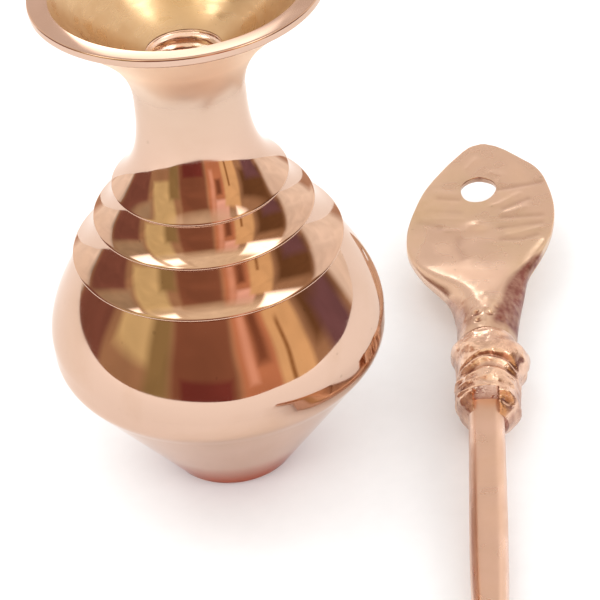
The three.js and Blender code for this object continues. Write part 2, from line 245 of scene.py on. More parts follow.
def bend(name, start, end, steps):
    """Points along one of the BENDS between two (radius, height) places, ends included."""
    leave, reach = BENDS[name]
    a = np.array(start, float)
    b = np.array(end, float)
    t = np.linspace(0, 1, steps + 1)[:, None]
    return (
        (1 - t) ** 3 * a
        + 3 * (1 - t) ** 2 * t * (a + leave)
        + 3 * (1 - t) * t**2 * (b + reach)
        + t**3 * b
    )


def line(start, end, steps):
    """Evenly spaced points on a straight line, ends included."""
    return np.linspace(start, end, steps + 1)


def without_repeats(points):
    """The same outline without points that coincide with the one before."""
    kept = [points[0]]
    for point in points[1:]:
        if np.hypot(*(point - kept[-1])) > 1e-4:
            kept.append(point)
    return np.array(kept)


def make_object(name, vertices, faces, materials, face_materials=None):
    """A smooth-shaded mesh object from points in millimetres, with its faces turned outwards."""
    mesh = bpy.data.meshes.new(name)
    mesh.from_pydata((np.asarray(vertices) * MM).tolist(), [], faces)
    for material in materials:
        mesh.materials.append(material)
    if face_materials is not None:
        mesh.polygons.foreach_set("material_index", np.asarray(face_materials, np.int32))
    if signed_volume(mesh) < 0:
        mesh.flip_normals()
    mesh.polygons.foreach_set("use_smooth", [True] * len(mesh.polygons))
    mesh.set_sharp_from_angle(angle=math.radians(SHARP_EDGE))
    mesh.update()
    obj = bpy.data.objects.new(name, mesh)
    bpy.context.scene.collection.objects.link(obj)
    return obj


def signed_volume(mesh):
    """Positive when the faces of a closed mesh point outwards."""
    mesh.calc_loop_triangles()
    corners = np.empty(len(mesh.loop_triangles) * 3, np.int32)
    mesh.loop_triangles.foreach_get("vertices", corners)
    co = np.empty(len(mesh.vertices) * 3)
    mesh.vertices.foreach_get("co", co)
    a, b, c = co.reshape(-1, 3)[corners.reshape(-1, 3)].transpose(1, 0, 2)
    return float(np.einsum("ij,ij->", a, np.cross(b, c)))


def wrapped_faces(rows, columns):
    """Quads of a grid that closes on itself both ways, as on a ring."""
    faces = []
    for i in range(rows):
        j = (i + 1) % rows
        for k in range(columns):
            m = (k + 1) % columns
            faces.append((i * columns + k, i * columns + m, j * columns + m, j * columns + k))
    return faces


def tube_faces(rows, columns):
    """Quads of a grid that closes round its columns, with a fan of triangles over each end.

    The two end points come after the grid's own points.
    """
    faces = []
    for i in range(rows - 1):
        for k in range(columns):
            m = (k + 1) % columns
            a = i * columns
            b = a + columns
            faces.append((a + k, a + m, b + m, b + k))
    first = rows * columns
    last = (rows - 1) * columns
    for k in range(columns):
        m = (k + 1) % columns
        faces.append((first, m, k))
        faces.append((first + 1, last + k, last + m))
    return faces


def wave(angle, height):
    """How far the hand-finished pot's wall stands out from true, in millimetres."""
    return (
        0.030 * np.sin(2 * angle + 0.7 + 0.05 * height)
        + 0.014 * np.sin(3 * angle + 2.1 - 0.31 * height)
        + 0.009 * np.sin(5 * angle + 0.4 + 0.52 * height)
        + 0.006 * np.sin(8 * angle + 1.3 - 0.83 * height)
        + 0.004 * np.sin(13 * angle + 2.2 + 1.3 * height)
    )


def turn(profile, segments, shape=None):
    """Rings of points from a (radius, height) outline.

    shape(angle, radius, height), if given, returns the radius to use instead.
    """
    angle = np.linspace(0, 2 * np.pi, segments, endpoint=False)[None, :]
    radius = profile[:, 0][:, None] + 0 * angle
    height = profile[:, 1][:, None] + 0 * angle
    if shape:
        radius = shape(angle, radius, height)
    return np.stack([radius * np.sin(angle), -radius * np.cos(angle), height], -1)


def turned_ring(name, profile, materials, segments=POT_SEGMENTS, shape=None, inside_from=None):
    """A closed ring turned from a closed outline.

    Faces from row inside_from on take the second material.
    """
    profile = without_repeats(profile)
    points = turn(profile, segments, shape)
    faces = wrapped_faces(len(profile), segments)
    face_materials = None
    if inside_from is not None:
        face_materials = [int(i // segments >= inside_from) for i in range(len(faces))]
    return make_object(name, points.reshape(-1, 3), faces, materials, face_materials)


# ---- Material helpers ----


class Nodes:
    """Short calls for building one material's node tree."""

    def __init__(self, name):
        self.material = bpy.data.materials.new(name)
        self.material.use_nodes = True
        self.tree = self.material.node_tree
        self.tree.nodes.clear()

    def add(self, kind, **values):
        node = self.tree.nodes.new(kind)
        for key, value in values.items():
            setattr(node, key, value)
        return node

    def put(self, value, socket):
        """Sets an input to a number or colour, or links an output to it."""
        if isinstance(value, bpy.types.NodeSocket):
            self.tree.links.new(value, socket)
        else:
            socket.default_value = value

    def place(self, scale=(1, 1, 1), turned=(0, 0, 0)):
        """Object coordinates in millimetres, turned and scaled."""
        mapping = self.add("ShaderNodeMapping")
        mapping.inputs["Scale"].default_value = [s / MM for s in scale]
        mapping.inputs["Rotation"].default_value = turned
        source = self.add("ShaderNodeTexCoord")
        self.put(source.outputs["Object"], mapping.inputs["Vector"])
        return mapping.outputs["Vector"]

    def noise(self, vector, scale, detail=3.0, roughness=0.55, distortion=0.0):
        node = self.add("ShaderNodeTexNoise")
        self.put(vector, node.inputs["Vector"])
        node.inputs["Scale"].default_value = scale
        node.inputs["Detail"].default_value = detail
        node.inputs["Roughness"].default_value = roughness
        node.inputs["Distortion"].default_value = distortion
        return node.outputs["Fac"]

    def map(self, value, from_low, from_high, to_low, to_high):
        node = self.add("ShaderNodeMapRange", clamp=True)
        self.put(value, node.inputs["Value"])
        for key, number in zip(
            ("From Min", "From Max", "To Min", "To Max"), (from_low, from_high, to_low, to_high)
        ):
            node.inputs[key].default_value = number
        return node.outputs["Result"]

    def math(self, operation, a, b):
        node = self.add("ShaderNodeMath", operation=operation)
        self.put(a, node.inputs[0])
        self.put(b, node.inputs[1])
        return node.outputs[0]

    def mix(self, factor, a, b, blend="MIX"):
        node = self.add("ShaderNodeMix", data_type="RGBA", blend_type=blend)
        self.put(factor, node.inputs["Factor"])
        for value, socket in ((a, node.inputs[6]), (b, node.inputs[7])):
            self.put((*value, 1) if isinstance(value, tuple) else value, socket)
        return node.outputs[2]

    def bump(self, height, distance, strength=1.0, normal=None):
        node = self.add("ShaderNodeBump")
        self.put(height, node.inputs["Height"])
        node.inputs["Distance"].default_value = distance * MM
        node.inputs["Strength"].default_value = strength
        if normal is not None:
            self.put(normal, node.inputs["Normal"])
        return node.outputs["Normal"]


def brass(
    name,
    colour,
    tarnish,
    roughness,
    turning=0.0,
    hammer=0.0,
    pits=0.0,
    satin_painted_light=None,
    hollows_and_painted_shade=None,
    edge_tint=(1.0, 1.0, 1.0),
):
    """Polished brass: cloudy colour, soft tarnish, wiped and turned marks.

    turning is the depth in mm of the marks left round the turning axis, hammer that of the soft
    unevenness of a hand-worked surface, and pits that of small casting pits. waist is the colour
    of a satin finish that starts on the upper neck, a little paler than the brass: painted light.
    It also turns on painted light, a paler colour, under the lip and painted shade, a redder
    colour, towards the foot. deep is the colour that the stored tarnish amount darkens towards:
    it is darker in hollows and pits, with painted shade on the stopper's flanks, in the leaf's
    grooves and under its neck, and a painted dark reflection on the leaf's side facets.
    edge_tint is the tint of light that glances off at a low angle.
    """
    n = Nodes(name)
    plain = n.place()
    # Colour: soft clouds of tarnish and a few small dark dots.
    clouds = n.noise(plain, 0.09, detail=4, distortion=0.4)
    specks = n.noise(plain, 1.9, detail=2, roughness=0.7)
    stain = n.math("MULTIPLY", n.map(clouds, 0.48, 0.72, 0, 0.5), n.map(specks, 0.3, 0.7, 0.8, 1))
    base = n.mix(stain, colour, tarnish)
    dots = n.map(n.noise(plain, 0.9, detail=1), 0.76, 0.8, 0, 0.25)
    base = n.mix(dots, base, tuple(c * 0.45 for c in tarnish))
    if hollows_and_painted_shade:
        # Darker by the stored tarnish amount: painted shade and painted reflection, and darker hollows
        # and pits.
        kept = n.add("ShaderNodeAttribute", attribute_name="tarnish")
        uneven = n.map(n.noise(plain, 0.8, detail=3), 0.3, 0.7, 0.7, 1.15)
        base = n.mix(n.math("MULTIPLY", kept.outputs["Fac"], uneven), base, hollows_and_painted_shade)
    # Gloss: streaks where the brass was wiped, and duller where it is tarnished.
    wiped = n.noise(n.place((0.3, 0.3, 1.5), (0.5, 0.3, 0)), 0.8, detail=2, roughness=0.5)
    rough = n.math(
        "ADD",
        n.map(wiped, 0.35, 0.75, roughness * 0.7, roughness * 1.6),
        n.map(stain, 0, 0.6, 0, roughness * 0.9),
    )
    edge = (*edge_tint, 1.0)
    if satin_painted_light:
        # Satin on the upper neck, rougher and a little paler as painted light; painted light, paler and
        # rougher, under the lip; and painted shade, redder, towards the foot.
        split = n.add("ShaderNodeSeparateXYZ")
        n.put(plain, split.inputs[0])
        level = split.outputs["Z"]
        rise = n.map(level, *SATIN_STARTS, 0, 1)
        satin = n.math("MINIMUM", rise, n.map(level, *SATIN_ENDS, 1, 0))
        # Painted light: the satin band is a little paler than the brass.
        base = n.mix(satin, base, satin_painted_light)
        rough = n.math("ADD", rough, n.map(satin, 0, 1, 0, 0.22))
        # Painted light: paler under the lip, where the flare would mirror the dark tiers.
        under = n.math("MULTIPLY", satin, n.map(level, *UNDER_LIP_LIGHT_STARTS, 0, 1))
        base = n.mix(under, base, UNDER_LIP_PAINTED_LIGHT)
        rough = n.math("ADD", rough, n.map(under, 0, 1, 0, 0.25))
        # Painted shade: redder towards the foot, as the mirror image of the shadowed paper round it.
        heel_shade = n.map(level, *HEEL_SHADE_FADES, 1.0, 0)
        base = n.mix(heel_shade, base, HEEL_PAINTED_SHADE)
        edge = n.mix(heel_shade, edge_tint, HEEL_SHADE_EDGE)
    # Relief: wiping, turning, hammering and casting marks.
    normal = n.bump(wiped, 0.0006)
    if turning:
        rings = n.noise(n.place((0, 0, 1)), 5.5, detail=3, roughness=0.75)
        normal = n.bump(rings, turning, normal=normal)
    if hammer:
        normal = n.bump(n.noise(plain, 0.32, detail=2), hammer, normal=normal)
    if pits:
        hollows = n.map(n.noise(plain, 1.3, detail=2, roughness=0.6), 0.55, 0.72, 0, 1)
        normal = n.bump(hollows, -pits, normal=normal)
    shader = n.add("ShaderNodeBsdfPrincipled")
    n.put(base, shader.inputs["Base Color"])
    n.put(edge, shader.inputs["Specular Tint"])
    shader.inputs["Metallic"].default_value = 1.0
    n.put(rough, shader.inputs["Roughness"])
    n.put(normal, shader.inputs["Normal"])
    output = n.add("ShaderNodeOutputMaterial")
    n.put(shader.outputs[0], output.inputs["Surface"])
    return n.material


# Heights in mm over which the pot's finish changes, and the colours that it changes to: painted light
# under the lip and painted shade, redder, towards the foot.
SATIN_STARTS = (46.5, 54.5)
SATIN_ENDS = (LIP_HEIGHT - 1.8, LIP_HEIGHT - 1)
UNDER_LIP_LIGHT_STARTS = (54, 59)
HEEL_SHADE_FADES = (1.5, 7.0)
UNDER_LIP_PAINTED_LIGHT = (1.0, 0.80, 0.62)
HEEL_PAINTED_SHADE = (0.50, 0.22, 0.18)
HEEL_SHADE_EDGE = (0.78, 0.45, 0.38)
POT_BRASS = brass(
    "brass_pot",
    (0.60, 0.41, 0.315),
    (0.52, 0.33, 0.22),
    0.05,
    turning=0.0001,
    satin_painted_light=(0.60, 0.435, 0.335),
    edge_tint=(1.0, 0.95, 0.91),
)
MOUTH_BRASS = brass("brass_funnel", (0.62, 0.43, 0.25), (0.50, 0.29, 0.13), 0.27, turning=0.003)
THROAT_BRASS = brass("brass_throat", (0.84, 0.63, 0.53), (0.46, 0.26, 0.17), 0.24, turning=0.004)
# The foot's redder colour is painted shade, the same as the pot's painted shade towards the foot.
FOOT_BRASS_PAINTED_SHADE = brass(
    "brass_foot_painted_shade", (0.50, 0.22, 0.18), (0.40, 0.16, 0.12), 0.12, turning=0.002, edge_tint=HEEL_SHADE_EDGE
)
LEAF_BRASS = brass(
    "brass_leaf",
    (0.70, 0.495, 0.375),
    (0.58, 0.45, 0.26),
    0.27,
    hammer=0.006,
    pits=0.004,
    hollows_and_painted_shade=(0.22, 0.075, 0.06),
)
STOPPER_BRASS = brass(
    "brass_stopper",
    (0.78, 0.55, 0.42),
    (0.60, 0.34, 0.24),
    0.2,
    hammer=0.04,
    pits=0.03,
    hollows_and_painted_shade=(0.26, 0.10, 0.075),
)
ROD_BRASS = brass("brass_rod", (0.76, 0.53, 0.43), (0.66, 0.45, 0.30), 0.26, hammer=0.012)


# ---- The pot's pieces ----


def wavy(angle, radius, height):
    """A pot radius with the wall's unevenness added, fading towards the axis."""
    return radius + wave(angle, height) * np.clip(radius / BELLY_RADIUS, 0.2, 1)


def make_foot():
    """The foot: a rounded disc with a plug that closes the bowl's small end."""
    edge = bend("foot_edge", (FOOT_FLAT_RADIUS, 0), (FOOT_RIM_RADIUS, FOOT_RIM_HEIGHT - 0.15), 14)
    plug_radius = FOOT_FLAT_RADIUS - 0.3
    profile = np.vstack([
        line((0.6, 0.02), (FOOT_FLAT_RADIUS, 0), 6),
        edge,
        line((FOOT_RIM_RADIUS - 0.1, FOOT_RIM_HEIGHT - 0.02), (plug_radius, FOOT_RIM_HEIGHT - 0.02), 4),
        line((plug_radius, FOOT_HEIGHT), (0.6, FOOT_HEIGHT), 4),
    ])
    points = turn(profile, POT_SEGMENTS).reshape(-1, 3)
    ends = [(0, 0, 0.02), (0, 0, FOOT_HEIGHT)]
    faces = tube_faces(len(profile), POT_SEGMENTS)
    return make_object("foot_turned", np.vstack([points, ends]), faces, [FOOT_BRASS_PAINTED_SHADE])


def inset(profile, distance):
    """The same outline moved inwards, square to itself."""
    along = np.gradient(profile, axis=0)
    along /= np.linalg.norm(along, axis=1)[:, None]
    return profile + np.stack([-along[:, 1], along[:, 0]], -1) * distance


def make_bowl():
    """The lower shell: a straight cone that rounds into the widest part of the belly."""
    seam = (BELLY_RADIUS, SEAM_HEIGHT - JOINT / 2)
    top = line((BELLY_RADIUS, SEAM_HEIGHT - 0.8), seam, 14)
    outside = np.vstack([
        line(BOWL_START, BOWL_TURN, 40),
        bend("bowl", BOWL_TURN, (BELLY_RADIUS, SEAM_HEIGHT - 0.8), 34),
        top,
    ])
    outside = without_repeats(outside)
    inside = inset(outside, WALL)[::-1]
    inside = inside[inside[:, 1] > FOOT_HEIGHT + 0.6]
    inside[0, 1] = seam[1]
    socket = [(FOOT_FLAT_RADIUS, FOOT_HEIGHT + 0.5), (FOOT_FLAT_RADIUS, BOWL_START[1])]  # for the foot
    profile = np.vstack([outside, inside, socket])
    return turned_ring("bowl_turned", profile, [POT_BRASS], shape=wavy)


def tier_nose(edge):
    """The rounded lower edge of a tier, from under it to its face."""
    radius, height = edge
    start = np.array((radius - TIER_NOSE, height - TIER_NOSE))
    end = np.array((radius - 0.12, height + TIER_NOSE * 0.55))
    corner = np.array((radius + 0.13, height - 0.04))
    t = np.linspace(0, 1, 9)[:, None]
    return (1 - t) ** 2 * start + 2 * (1 - t) * t * corner + t**2 * end


def tier_face(edge, top):
    """A tier's hollow face, from its nose up to the cove of the tier above."""
    start = np.array((edge[0] - 0.12, edge[1] + TIER_NOSE * 0.55))
    end = np.array(top, float)
    along = end - start
    inwards = np.array((-along[1], along[0])) / np.linalg.norm(along)
    if inwards[0] > 0:
        inwards = -inwards
    middle = (start + end) / 2 + inwards * 2 * TIER_HOLLOW
    t = np.linspace(0, 1, 33)[:, None]
    return (1 - t) ** 2 * start + 2 * (1 - t) * t * middle + t**2 * end


def make_shoulder():
    """The upper shell: the belly's top, three tiers that each overhang what is below, and the neck."""
    (wide, wide_cove), (middle, middle_cove), (top, top_cove) = TIERS
    seam = (BELLY_RADIUS, SEAM_HEIGHT + JOINT / 2)
    neck_start = tier_nose(top)[-1]
    outside = np.vstack([
        line(seam, (BELLY_RADIUS, SEAM_HEIGHT + 0.5), 9),
        bend("belly", (BELLY_RADIUS, SEAM_HEIGHT + 0.5), wide_cove, 70),
        tier_nose(wide),
        tier_face(wide, middle_cove),
        tier_nose(middle),
        tier_face(middle, top_cove),
        tier_nose(top),
        bend("neck", neck_start, (NECK_RADIUS, NECK_JOINT_HEIGHT - JOINT / 2), 70),
    ])
    bore_end = (NECK_BORE_RADIUS, BUSH_BOTTOM - 1)
    seam_inside = (BELLY_RADIUS - WALL, seam[1])
    inside = np.vstack([
        line((NECK_BORE_RADIUS, NECK_JOINT_HEIGHT - JOINT / 2), bore_end, 4),
        bend("neck_inside", bore_end, SHOULDER_INSIDE, 20),
        bend("belly_inside", SHOULDER_INSIDE, seam_inside, 16),
    ])
    profile = np.vstack([outside, inside])
    return turned_ring("shoulder_turned", profile, [POT_BRASS], shape=wavy)


def make_mouth():
    """The flared mouth, with its flat-topped rim, its funnel and the socket that the bush sits in."""
    start = NECK_JOINT_HEIGHT + JOINT / 2
    socket_radius = BUSH_RADIUS + JOINT
    outside = without_repeats(np.vstack([
        bend("mouth", (NECK_RADIUS, start), LIP_UNDER, 60),
        bend("rim_under", LIP_UNDER, LIP_SIDE, 12),
        line(LIP_SIDE, LIP_CORNER, 3),
        bend("rim_edge", LIP_CORNER, LIP_BROW, 8),
        bend("lip_top", LIP_BROW, LIP_INNER, 12),
    ]))
    inside = np.vstack([
        bend("funnel", LIP_INNER, (FUNNEL_END_RADIUS, THROAT_HEIGHT + 0.1), 60),
        line((FUNNEL_END_RADIUS, THROAT_HEIGHT + JOINT), (socket_radius, THROAT_HEIGHT + JOINT), 3),
        line((socket_radius, THROAT_HEIGHT), (socket_radius, start), 6),
    ])
    profile = np.vstack([outside, inside[1:]])
    return turned_ring(
        "mouth_turned", profile, [POT_BRASS, MOUTH_BRASS], shape=wavy, inside_from=len(outside) - 1
    )


def thread(turns):
    """A rounded thread's height, 0 at its root and 1 at its crest, at a number of turns."""
    saw = np.abs(turns % 1 - 0.5) * 2
    return np.clip(1.25 * saw - 0.05, 0, 1)


def make_bush():
    """The threaded bush at the bottom of the funnel, with a real helical thread down its bore."""
    segments = 96
    outer = BUSH_RADIUS
    root = BUSH_CREST_RADIUS + BUSH_THREAD_DEPTH
    profile = np.vstack([
        line((outer, BUSH_BOTTOM), (outer, THROAT_HEIGHT - 0.3), 4),
        line((outer, THROAT_HEIGHT - 0.1), (outer - 0.1, THROAT_HEIGHT), 2),
        line((outer - 0.2, THROAT_HEIGHT), (root, THROAT_HEIGHT), 2),
        line((BUSH_CREST_RADIUS, THROAT_HEIGHT - 0.1), (BUSH_CREST_RADIUS, BUSH_BOTTOM), 96),
    ])

    def cut(angle, radius, height):
        down = THROAT_HEIGHT - height
        turns = down / THREAD_PITCH + angle / (2 * np.pi)
        chamfer = np.clip(0.45 - down, 0, 1)
        run_out = np.clip((down - 0.05) / 0.2, 0, 1) * np.clip((height - BUSH_BOTTOM) / 0.6, 0, 1)
        grooved = BUSH_CREST_RADIUS + BUSH_THREAD_DEPTH * (1 - thread(turns)) * run_out + chamfer
        return np.where(radius < BUSH_CREST_RADIUS + 0.01, grooved, radius)

    return turned_ring("throat_threaded", profile, [THROAT_BRASS], segments, cut)


# ---- The stick's pieces ----


def smooth_between(rows, along, column=1):
    """A smooth value from rows sorted by their first column, at places between them."""
    rows = np.array(rows, float)
    x = rows[:, 0]
    y = rows[:, column]
    step = np.diff(x)
    rise = np.diff(y) / step
    inner = (rise[:-1] * step[1:] + rise[1:] * step[:-1]) / (step[:-1] + step[1:])
    slope = np.concatenate([rise[:1], inner, rise[-1:]])
    i = np.clip(np.searchsorted(x, along) - 1, 0, len(x) - 2)
    t = np.clip((along - x[i]) / step[i], 0, 1)
    return (
        (2 * t**3 - 3 * t**2 + 1) * y[i]
        + (t**3 - 2 * t**2 + t) * step[i] * slope[i]
        + (3 * t**2 - 2 * t**3) * y[i + 1]
        + (t**3 - t**2) * step[i] * slope[i + 1]
    )


def lower_of(a, b, softness):
    """The smaller of two heights, with their meeting line rounded off."""
    return (a + b - np.sqrt((a - b) ** 2 + softness**2)) / 2


def lumps(points, size, seed):
    """Smooth noise between about -1 and 1 at points in millimetres, for lumps of a given size."""
    moved = points.reshape(-1, 3) / size + seed
    return np.array([noise.noise(Vector(p)) for p in moved]).reshape(points.shape[:-1])


def stroke(along, across, places):
    """Distance from each grid point to the nearest point of a line through some places."""
    nearest = np.full(along.shape, np.inf)
    for (s0, w0), (s1, w1) in zip(places[:-1], places[1:]):
        ds = s1 - s0
        dw = w1 - w0
        t = np.clip(((along - s0) * ds + (across - w0) * dw) / (ds * ds + dw * dw), 0, 1)
        nearest = np.minimum(nearest, np.hypot(along - s0 - t * ds, across - w0 - t * dw))
    return nearest


def leaf_relief(along, across):
    """Height of the marks on the leaf's face: its fan of rays, the long boss, the knob and pits."""
    height = np.zeros(along.shape)
    for rise, half_width, places in LEAF_RAYS:
        height += LEAF_WEAR * rise * np.exp(-((stroke(along, across, places) / half_width) ** 2))
    boss = LEAF_BODY_BOSS
    out = np.hypot(
        (along - boss["along"]) / boss["half_length"], (across - boss["across"]) / boss["half_width"]
    )
    height += boss["height"] * np.clip(1 - out**2, 0, 1) ** 1.5
    knob = LEAF_KNOB
    away = np.hypot(along - knob["along"], (across - knob["across"]) * 0.8) / knob["radius"]
    height += knob["height"] * np.exp(-(away**2))
    for s0, w0, radius, depth in LEAF_PITS:
        height -= depth * np.exp(-((np.hypot(along - s0, across - w0) / radius) ** 2))
    return height


def make_leaf():
    """The cast head: a round neck cut flat into a leaf, with marks on its face and a cord hole."""
    ends = LEAF_OUTLINE[-1][0]
    start = STOPPER_TOP + JOINT
    tip_starts = 42  # from here the rows crowd together towards the leaf's tip
    tip_rows = ends - (ends - tip_starts) * np.linspace(1, 0, 61)[1:] ** 1.6
    along = np.concatenate([np.linspace(start, tip_starts, 250), tip_rows])
    face_columns = 120
    back_columns = 70
    face_side = np.sin(np.linspace(np.pi / 2, -np.pi / 2, face_columns, endpoint=False))
    back_side = np.sin(np.linspace(-np.pi / 2, np.pi / 2, back_columns, endpoint=False))
    side = np.concatenate([face_side, back_side])[None, :]
    is_face = (np.arange(side.shape[1]) < face_columns)[None, :]
    s = along[:, None] + 0 * side
    left = smooth_between(LEAF_OUTLINE, along, 1)[:, None]
    right = smooth_between(LEAF_OUTLINE, along, 2)[:, None]
    across = np.where(side > 0, side * right, side * left)
    squareness = smooth_between(LEAF_SQUARENESS, along)[:, None]
    body = smooth_between(LEAF_BODY, along)[:, None]
    rounded = (1 - np.abs(side) ** squareness) ** (1 / squareness)
    face_height = smooth_between(LEAF_FACE, along)[:, None]
    cut = lower_of(body * rounded, face_height + 0 * rounded, 0.12)
    inwards = np.clip(3 * rounded, 0, 1) * np.clip((ends - s) / 1.5, 0, 1)
    top = np.maximum(cut + leaf_relief(s, across) * inwards, 0.02)
    bottom = -lower_of(body * rounded, np.minimum(body, face_height + 0.05) + 0 * rounded, 0.1)
    height = np.where(is_face, top, bottom)
    points = np.stack([across, s, height], -1)
    worn = lumps(points, 3.4, 5.0) * 0.018 + lumps(points, 1.3, 11.0) * 0.006
    neck = np.clip((13 - s) / 8, 0, 1)
    worn += neck * (lumps(points, 1.5, 23.0) * 0.14 + lumps(points, 0.7, 31.0) * 0.05)
    points[..., 2] += worn * inwards * np.sign(height)
    middle = (right[[0, -1], 0] - left[[0, -1], 0]) / 2
    tips = [(middle[0], start, 0), (middle[1], ends, 0)]
    faces = tube_faces(len(along), side.shape[1])
    leaf = make_object("leaf_cast", np.vstack([points.reshape(-1, 3), tips]), faces, [LEAF_BRASS])
    # Painted reflection: the side facets beyond the tongue are painted dark, darker on the right.
    past_left = -across - smooth_between(TONGUE, along, 1)[:, None]
    past_right = across - smooth_between(TONGUE, along, 2)[:, None]
    dark = np.maximum(0.55 * np.clip(past_left / 1.2, 0, 1), 0.95 * np.clip(past_right / 0.9, 0, 1))
    dark *= np.clip((s - 3) / 2, 0.35, 1)
    # Darker in the casting pits.
    for s0, w0, radius, depth in LEAF_PITS:
        dark = np.maximum(dark, 0.9 * np.exp(-((np.hypot(s - s0, across - w0) / radius / 0.8) ** 2)))
    # Painted shade in the grooves of the rays.
    grooves = np.zeros(s.shape)
    for rise, half_width, places in LEAF_RAYS:
        grooves += max(0, -rise) * np.exp(-((stroke(s, across, places) / half_width) ** 2))
    dark = np.maximum(dark, np.clip(grooves * 1.5, 0, 0.24))
    # Painted shade under the back of the neck, towards the stopper.
    stain(leaf, np.append(np.where(is_face, dark, 0.4 * neck + 0 * dark).ravel(), [0.3, 0.2]))
    cut_away(leaf, make_hole_cutter())
    return lay_down(leaf)


def stain(obj, amounts):
    """Keeps how much darker each point is, from 0 to 1, for the object's material: darker hollows, with
    painted shade and painted reflection.
    """
    attribute = obj.data.attributes.new("tarnish", "FLOAT", "POINT")
    attribute.data.foreach_set("value", np.asarray(amounts, np.float32))


def make_hole_cutter():
    """An oval plug with a slightly ragged outline, wider at both faces of the leaf to ease the edges."""
    hole = LEAF_HOLE
    levels = [
        (2.0, 0.9),
        (0.75, 0.35),
        (0.45, 0.06),
        (0.15, 0.0),
        (-0.3, 0.12),
        (-0.5, 0.3),
        (-2.0, 0.75),
    ]
    angle = np.linspace(0, 2 * np.pi, 96, endpoint=False)
    rings = []
    for height, wider in levels:
        out = wider + 0.05 * np.sin(3 * angle + 1) + 0.03 * np.sin(5 * angle + height)
        slant = 0.25 * np.cos(angle)
        rings.append(np.stack([
            hole["across"] + (hole["half_width"] + out) * np.cos(angle),
            hole["along"] + (hole["half_length"] + out) * np.sin(angle) + slant,
            height + 0 * angle,
        ], -1))
    caps = [(hole["across"], hole["along"], 2.0), (hole["across"], hole["along"], -2.0)]
    points = np.vstack([np.array(rings).reshape(-1, 3), caps])
    return make_object("hole_cutter", points, tube_faces(len(levels), len(angle)), [LEAF_BRASS])


def cut_away(obj, cutter):
    """Cuts one closed mesh out of another, and removes the cutter."""
    modifier = obj.modifiers.new("cut", "BOOLEAN")
    modifier.operation = "DIFFERENCE"
    modifier.solver = "EXACT"
    modifier.object = cutter
    shown = bpy.context.evaluated_depsgraph_get()
    mesh = bpy.data.meshes.new_from_object(obj.evaluated_get(shown))
    obj.modifiers.clear()
    obj.data = mesh
    bpy.data.objects.remove(cutter)
    mesh.set_sharp_from_angle(angle=math.radians(SHARP_EDGE))


def stopper_radius(s, angle):
    """The worn stopper's radius, by place along it and angle from its right towards its face.

    Each step is one thing that is seen on the casting, as a rise or a dip with a place and a width.
    """
    across = np.cos(angle)
    up = np.sin(angle)
    left_side = np.clip(-across * 1.4 + 0.1 - 0.8 * up, 0, 1)
    top_side = np.clip(up, 0, 1)
    radius = 4.02 + 0.1 * across + 0 * s
    radius -= 0.27 * np.clip((s - 1.6) / 1.6, 0, 1) ** 2
    # The flange, which sits askew and is worn down on its face.
    middle = 1.05 - 0.95 * across - 1.1 * top_side
    half_width = 1.55 + 0.75 * np.clip(across, 0, 1) - 0.25 * top_side
    rise = 1.0 + 0.25 * across - 0.72 * top_side**2
    radius += rise * np.exp(-(np.abs((s - middle) / half_width) ** 3))
    # One thick turn of the thread across the face, with a groove on each side.
    turn_away = np.angle(np.exp(1j * (angle - np.radians(88)))) / np.radians(50)
    shown = np.exp(-((turn_away / 1.25) ** 4))
    ridge = -2.85 - 0.85 * turn_away**2
    radius += shown * 0.26 * np.exp(-(((s - ridge) / 0.42) ** 2))
    radius -= shown * 0.34 * np.exp(-(((s - ridge - 0.85) / 0.36) ** 2))
    radius -= shown * 0.24 * np.exp(-(((s - ridge + 1.0) / 0.45) ** 2))
    # A bulge of metal on the face.
    bulge = ((s + 5.4) / 1.25) ** 2 + ((4 * across - 0.9) / 1.5) ** 2
    radius += top_side * 0.42 * np.exp(-bulge)
    # What is left of the thread, clearest on the left flank.
    threaded = np.clip((s + 8.2) / 0.8, 0, 1) * np.clip((-3.2 - s) / 0.8, 0, 1)
    crests = thread(s / THREAD_PITCH - angle / (2 * np.pi) + 0.1)
    radius += threaded * (0.15 + 0.85 * left_side) * 0.48 * (crests - 0.6)
    # A ledge and a dent to the right of the notch.
    ledge = ((s + 8.3) / 0.5) ** 2 + ((4 * across - 2.1) / 1.1) ** 2
    radius += top_side * 0.3 * np.exp(-ledge)
    dent = ((s + 9.3) / 0.5) ** 2 + ((4 * across - 2.7) / 0.6) ** 2
    radius -= top_side * 0.5 * np.exp(-dent)
    # The end narrows down to the rod.
    taper = np.clip((-8.2 - 0.3 * across - s) / 2.9, 0, 1)
    return radius - (radius - 2.05) * taper**1.25


